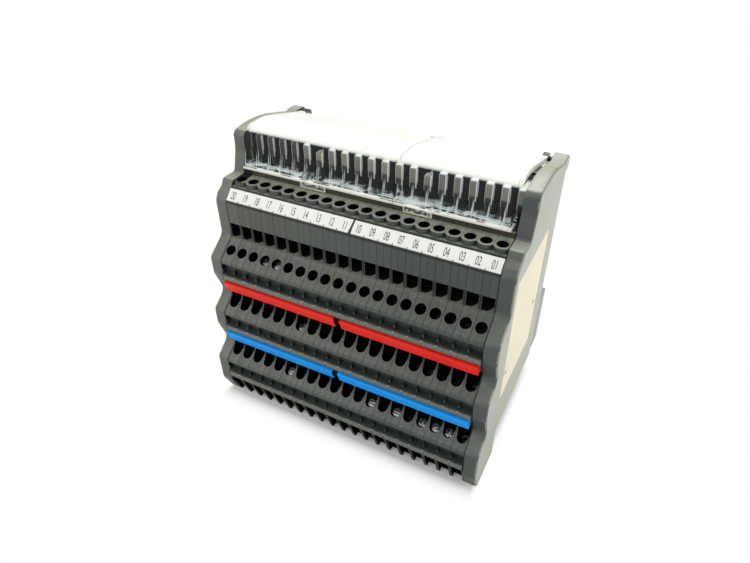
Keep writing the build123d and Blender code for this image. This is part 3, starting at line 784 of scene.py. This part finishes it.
def barFinish(name, dark, light):
    finish = Finish(name)
    cloud = finish.noise(60, 3)
    scratch = finish.noise(420, 3, stretch=(0.25, 1, 1))
    colour = finish.blend(cloud, hexColour(dark), hexColour(light))
    # the end faces in the gap between two bars are in shade
    end = finish.facing("X").above(0.5, 0.8) * (1 - finish.x.above(2 * mm, 3 * mm))
    return finish.close(finish.surface({
        "Base Color": finish.blend(end * 0.9, colour, hexColour("0c0d14")),
        "Roughness": scratch * 0.16 + 0.3,
        "Specular IOR Level": 0.3,
        "Normal": finish.bump(scratch, 0.12, 0.00008),
    }))


def buildBars():
    for colour, dark, light in (("red", "ea160c", "fb3020"), ("blue", "0098ff", "16a8ff")):
        finish = barFinish("bar_" + colour, dark, light)
        for side in ("left", "right"):
            dress(f"bridge_{colour}_{side}", finish, bars["edge"])


buildBars()
print("bars dressed")


# Label strips, and a plain running number on each pole
labels = {
    "figureSize": 5.0 * mm,
    "figureSqueeze": 0.47,
    "figureLift": 0.03 * mm,
    "tick": (0.3 * mm, 0.8 * mm),
    "gap": (1.0 * mm, 0.75 * mm),
    "ink": "33363a",
    "edge": 0.22 * mm,
}


def labelFace(nodeName):
    # middle, downhill direction, normal and half width of the printed face
    build = mergedMesh(nodeName)
    build.normal_update()
    face = max(build.faces, key=lambda f: f.calc_area() * (f.normal.dot(Vector((0, -1, 1))) > 1.2))
    middle, normal = face.calc_center_bounds(), face.normal.copy()
    downhill = Vector((0, -1, -1)).normalized()
    half = max((vert.co - middle).dot(downhill) for vert in face.verts)
    build.free()
    return middle, downhill, normal, half


def flatShape(build, points, middle, downhill, normal):
    # a small printed shape on the label, points as (along the row, up the label)
    lift = normal * labels["figureLift"]
    corners = [build.verts.new(Vector((x, middle.y, middle.z)) - downhill * up + lift) for x, up in points]
    build.faces.new(corners)


def buildLabels():
    card = mouldedPlastic("label_card", "f4f4ee", "fbfbf6", 0.5)
    for side in ("left", "right"):
        dress(f"label_strip_{side}", card, labels["edge"])
    ink = mouldedPlastic("label_ink", labels["ink"], "44474a", 0.7)
    figures = bmesh.new()
    middle, downhill, normal, half = labelFace("label_strip_left")
    tilt = Matrix.Rotation(math.radians(45), 4, "X")
    for index in range(row["count"]):
        curve = bpy.data.curves.new("figure", "FONT")
        curve.body = f"{row['count'] - index:02d}"
        curve.size = labels["figureSize"]
        curve.align_x = "CENTER"
        holder = bpy.data.objects.new("figure", curve)
        bpy.context.collection.objects.link(holder)
        graph = bpy.context.evaluated_depsgraph_get()
        flat = bpy.data.meshes.new_from_object(holder.evaluated_get(graph))
        x = row["start"] + (index + 0.5) * row["pitch"]
        place = Vector((x, middle.y, middle.z)) + normal * labels["figureLift"]
        centred = Matrix.Translation((0, -0.36 * labels["figureSize"], 0))
        squeeze = Matrix.Diagonal((labels["figureSqueeze"], 1, 1, 1))
        flat.transform(Matrix.Translation(place) @ tilt @ squeeze @ centred)
        figures.from_mesh(flat)
        bpy.data.objects.remove(holder)
        if index and index != row["half"]:
            edge = row["start"] + index * row["pitch"]
            width, height = labels["tick"]
            corners = [(edge, -half), (edge + width, -half), (edge + width, height - half), (edge, height - half)]
            flatShape(figures, corners, middle, downhill, normal)
    split = row["start"] + row["half"] * row["pitch"]
    left, right = labels["gap"]
    flatShape(figures, [(split - left, -half), (split + right * 0.2, -half), (split + right, half), (split, half)],
              middle, downhill, normal)
    piece = newObject("label_figures", figures, ink)
    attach(piece, "block")


buildLabels()
print("labels numbered")


# Clear covers: clear in front, a painted milky glare over the crown, painted highlight lines on the flange, painted
# glints low in front
covers = {
    "low": 113.5 * mm,
    "front": 7.4 * mm,
    "pinFrom": 51.0 * mm,
    "tabs": (-25.2 * mm, 22.9 * mm),
    "tabHalf": 6.0 * mm,
    "marks": (-54.3 * mm, -4.0 * mm, 47.0 * mm),
    "arcs": ((-61.55, -61.2), (-60.4, -60.15), (12.05, 12.35), (58.75, 59.0), (59.8, 60.1)),
}


def coverFinish():
    finish = Finish("clear_cover")
    y = finish.y - row["depthShift"]
    smear = finish.noise(40, 4)
    # painted reflection: the crown, the rear and the back of the sides are painted milky white as glare
    crown = finish.facing("Z").above(0.52, 0.8)
    rear = y.above(30 * mm, 36 * mm)
    side = finish.facing("X").calculate("ABSOLUTE").above(0.5, 0.8)
    glare = crown.calculate("MAXIMUM", rear).calculate("MAXIMUM", side * y.above(14 * mm, 16 * mm))
    # painted reflections low in the clear front, as bright streaks and blotches
    glintCloud = finish.noise(700, 5, stretch=(0.8, 0.1, 1.0), rough=0.75)
    line = finish.noise(420, 3, stretch=(0.3, 0.1, 2.2))
    height = finish.z - covers["low"] + (finish.noise(90, 2, stretch=(1, 0.1, 0.1)) - 0.5) * (3 * mm)
    lowBand = 1 - height.above(2.2 * mm, 4.2 * mm)
    glintLine = height.between(1.9 * mm, 2.3 * mm, 0.2 * mm) * line.above(0.42, 0.5)
    front = 1 - y.above(12 * mm, 13 * mm)
    glint = (glintCloud.above(0.54, 0.58) + line.above(0.58, 0.62) + glintLine).clamped() * (lowBand + glintLine).clamped()
    glint = glint * front * (1 - glare) * (1 - side)
    # the flange: two painted highlight lines with a dark one in dashes between
    flange = (1 - finish.z.above(covers["low"] + 0.9 * mm, covers["low"] + 1.2 * mm)) \
        * (1 - y.above(covers["front"] - 0.3 * mm, covers["front"]))
    dash = finish.noise(120, 2, stretch=(1, 0.01, 0.01)).above(0.5, 0.54)
    between = y.between(covers["front"] - 1.9 * mm, covers["front"] - 1.2 * mm, 0.1 * mm) * dash
    colour = finish.blend(glare, hexColour("e6f0ef"), hexColour("fdfdf6"))
    colour = finish.blend(glint, colour, hexColour("e4f0f0"))
    colour = finish.blend(flange, colour, hexColour("f8f8ee"))
    colour = finish.blend(flange * between, colour, hexColour("3f3c30"))
    for low, high in covers["arcs"]:
        arc = finish.x.between(low * mm, high * mm, 0.03 * mm) * crown
        colour = finish.blend(arc * 0.85, colour, hexColour("a49c82"))
    ends = 1 - finish.x.between(-57.5 * mm, 57.5 * mm, 0.1 * mm)
    pin = ends * y.above(covers["pinFrom"], covers["pinFrom"] + 0.5 * mm)
    colour = finish.blend(pin, colour, hexColour("333226"))
    # pale upright lines where the front bends the light beside each plug
    local = (finish.x - row["start"]).wrapped(row["pitch"])
    upright = local.between(0.25 * mm, 0.6 * mm, 0.05 * mm) * (1 - glare) * front * (1 - flange) * (1 - side)
    upright = upright * (1 - finish.z.above(119 * mm, 122 * mm))
    colour = finish.blend(upright, colour, hexColour("dfeae8"))
    # a tab is clear but for its edges, painted pale like the flange's highlight lines, and the flange's lines stop at
    # it
    tabs, hooks = finish.x * 0.0, finish.x * 0.0
    for middle in covers["tabs"]:
        beside = (finish.x - middle).calculate("ABSOLUTE")
        tabs = tabs + (1 - beside.above(covers["tabHalf"] - 0.1 * mm, covers["tabHalf"]))
        hooks = hooks + beside.between(covers["tabHalf"] - 0.4 * mm, covers["tabHalf"] + 0.3 * mm, 0.05 * mm)
    lower = 1 - finish.z.above(covers["low"] - 1.55 * mm, covers["low"] - 1.4 * mm)
    clear = tabs * (1 - (lower + hooks).clamped())
    colour = finish.blend(tabs * lower, colour, hexColour("e2e4cc"))
    flange = flange * (1 - clear * 0.93)
    # faint moulded marks near the front of the crown, without any figure
    marks = finish.x * 0.0
    for middle in covers["marks"]:
        marks = marks + (1 - (finish.x - middle).calculate("ABSOLUTE").above(1.2 * mm, 1.5 * mm))
    marks = marks * y.between(12.6 * mm, 15.2 * mm, 0.2 * mm) * finish.noise(900, 2).above(0.4, 0.6)
    colour = finish.blend(marks * crown * 0.6, colour, hexColour("b9b596"))
    alpha = (glare * 0.96 + glint * 0.85 + flange * 0.92 + upright * 0.65 + 0.015).clamped()
    return finish.close(finish.surface({
        "Base Color": colour, "Roughness": smear * 0.15 + 0.08, "Alpha": alpha,
    }))


clearFinish = coverFinish()
for side in ("left", "right"):
    dress(f"cover_{side}", clearFinish)
print("covers dressed")


# End plates, side label, foot, latches and the hinge bracket
plates = {
    "edge": 0.35 * mm,
    "dimples": ((33.9, 64.2), (-2.0, 52.0)),
    "dimpleRadius": 1.1,
    "dimpleDepth": 0.06,
    "labelFace": 67.9,
}


def buildPlates():
    def litSide(finish, colour):
        # painted light: the right plate's outer side is painted pale as if lit
        paleCloud = finish.noise(30, 4, stretch=(1, 1, 0.4))
        paintedLight = finish.blend(paleCloud, hexColour("8b8e80"), hexColour("a2a597"))
        return finish.blend(finish.facing("X").above(0.5, 0.9), colour, paintedLight)

    def shadedSide(finish, colour):
        # painted shade: the left plate's side facing +X is painted near black
        return finish.blend(finish.facing("X").above(0.5, 0.9), colour, hexColour("1c1f1d"))

    # painted light and shade: the left plate is given a lighter colour than the right
    for side, shades, sideShades in (("left", ("575a52", "61645b"), shadedSide),
                                     ("right", ("3f4846", "48504e"), litSide)):
        plate = mouldedPlastic("end_plate_" + side, *shades, 0.40, topLight=0.85, topLightColour="a3a696", shades=sideShades)
        dress(f"end_plate_{side}", plate, plates["edge"], angle=50)
    dress("side_label", mouldedPlastic("side_label", "d3cbaf", "e2dac0", 0.5))
    dress("rail_foot", mouldedPlastic("foot", "7d8072", "8b8e80", 0.45), plates["edge"])
    dark = mouldedPlastic("latch", "2f3334", "3a3e3f", 0.45)
    for side in ("left", "right"):
        dress(f"rail_latch_{side}", dark, plates["edge"])
    dress("hinge_bracket", mouldedPlastic("hinge_bracket", "f6f6ee", "fdfdf6", 0.4), plates["edge"])
    dress("tie_rods", zincFinish("rod", "8c8e8a", "b5b7b3"))


def buildDimples():
    build = bmesh.new()
    for y, z in plates["dimples"]:
        ring = bmesh.ops.create_cone(
            build, cap_ends=True, segments=24, radius1=plates["dimpleRadius"] * mm,
            radius2=plates["dimpleRadius"] * 0.8 * mm, depth=plates["dimpleDepth"] * mm)
        turn = Matrix.Translation(at(plates["labelFace"] + plates["dimpleDepth"] / 2, y, z)) \
            @ Matrix.Rotation(math.radians(90), 4, "Y")
        bmesh.ops.transform(build, verts=ring["verts"], matrix=turn)
    piece = newObject("label_dimples", build, mouldedPlastic("dimple", "4a4a42", "5a5a50", 0.6))
    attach(piece, "block")


buildPlates()
buildDimples()
print("plates and foot dressed")


# Floor, world and lamps
studioPlan = {
    "floorSize": 3.0,
    "footprint": (0.066, 0.0445),
    "shadowReach": (0.0035, 0.0095),
    "ambient": 0.5,
    "lamps": (
        ("rearLamp", (60, 330, 520), 0.45, 2.8),
        ("sideLamp", (520, 60, 190), 0.35, 1.1),
        ("frontLamp", (-260, -380, 330), 0.5, 1.0),
    ),
}


def buildStudio():
    build = bmesh.new()
    bmesh.ops.create_grid(build, x_segments=1, y_segments=1, size=studioPlan["floorSize"])
    finish = Finish("floor")
    lightPath = finish.add("LightPath")
    # how far a spot lies outside the footprint of the block
    besideX = (finish.x.calculate("ABSOLUTE") - studioPlan["footprint"][0]).calculate("MAXIMUM", 0.0)
    besideY = (finish.y.calculate("ABSOLUTE") - studioPlan["footprint"][1]).calculate("MAXIMUM", 0.0)
    besideX, besideY = (beside / reach for beside, reach in zip((besideX, besideY), studioPlan["shadowReach"]))
    near = (1 - (besideX * besideX + besideY * besideY).calculate("SQRT")).clamped()
    away = 1 - near * near
    paper = finish.surface({"Base Color": (0.8, 0.8, 0.79), "Roughness": 0.9})
    glow = finish.add("Emission", {}, {"Color": (1, 1, 0.94), "Strength": 0.12})["Emission"]
    lit = finish.add("AddShader", {}, {0: paper, 1: glow})["Shader"]
    white = finish.add("Emission", {}, {"Color": (1, 1, 1), "Strength": 1.0})["Emission"]
    seen = finish.add("MixShader", {}, {0: away, 1: lit, 2: white})["Shader"]
    shown = finish.add("MixShader", {}, {0: lightPath["Is Camera Ray"], 1: paper, 2: seen})["Shader"]
    newObject("floor", build, finish.close(shown))

    world = bpy.data.worlds.new("studio")
    bpy.context.scene.world = world
    world.use_nodes = True
    world.node_tree.nodes.clear()
    sky = Sheet(world.node_tree, "ShaderNode")
    rays = sky.add("LightPath")
    seen = rays["Is Camera Ray"].calculate("MAXIMUM", rays["Is Transmission Ray"])
    strength = seen * (1.0 - studioPlan["ambient"]) + studioPlan["ambient"]
    back = sky.add("Background", {}, {"Color": (1, 1, 1), "Strength": strength})["Background"]
    sky.add("OutputWorld", {}, {"Surface": back})
    for name, place, size, power in studioPlan["lamps"]:
        lamp = bpy.data.lights.new(name, "AREA")
        lamp.size = size
        lamp.energy = power
        holder = bpy.data.objects.new(name, lamp)
        holder.location = at(*place)
        aim = at(0, 15, 60) - holder.location
        holder.rotation_euler = aim.to_track_quat("-Z", "Y").to_euler()
        bpy.context.collection.objects.link(holder)


buildStudio()
print("studio lit")
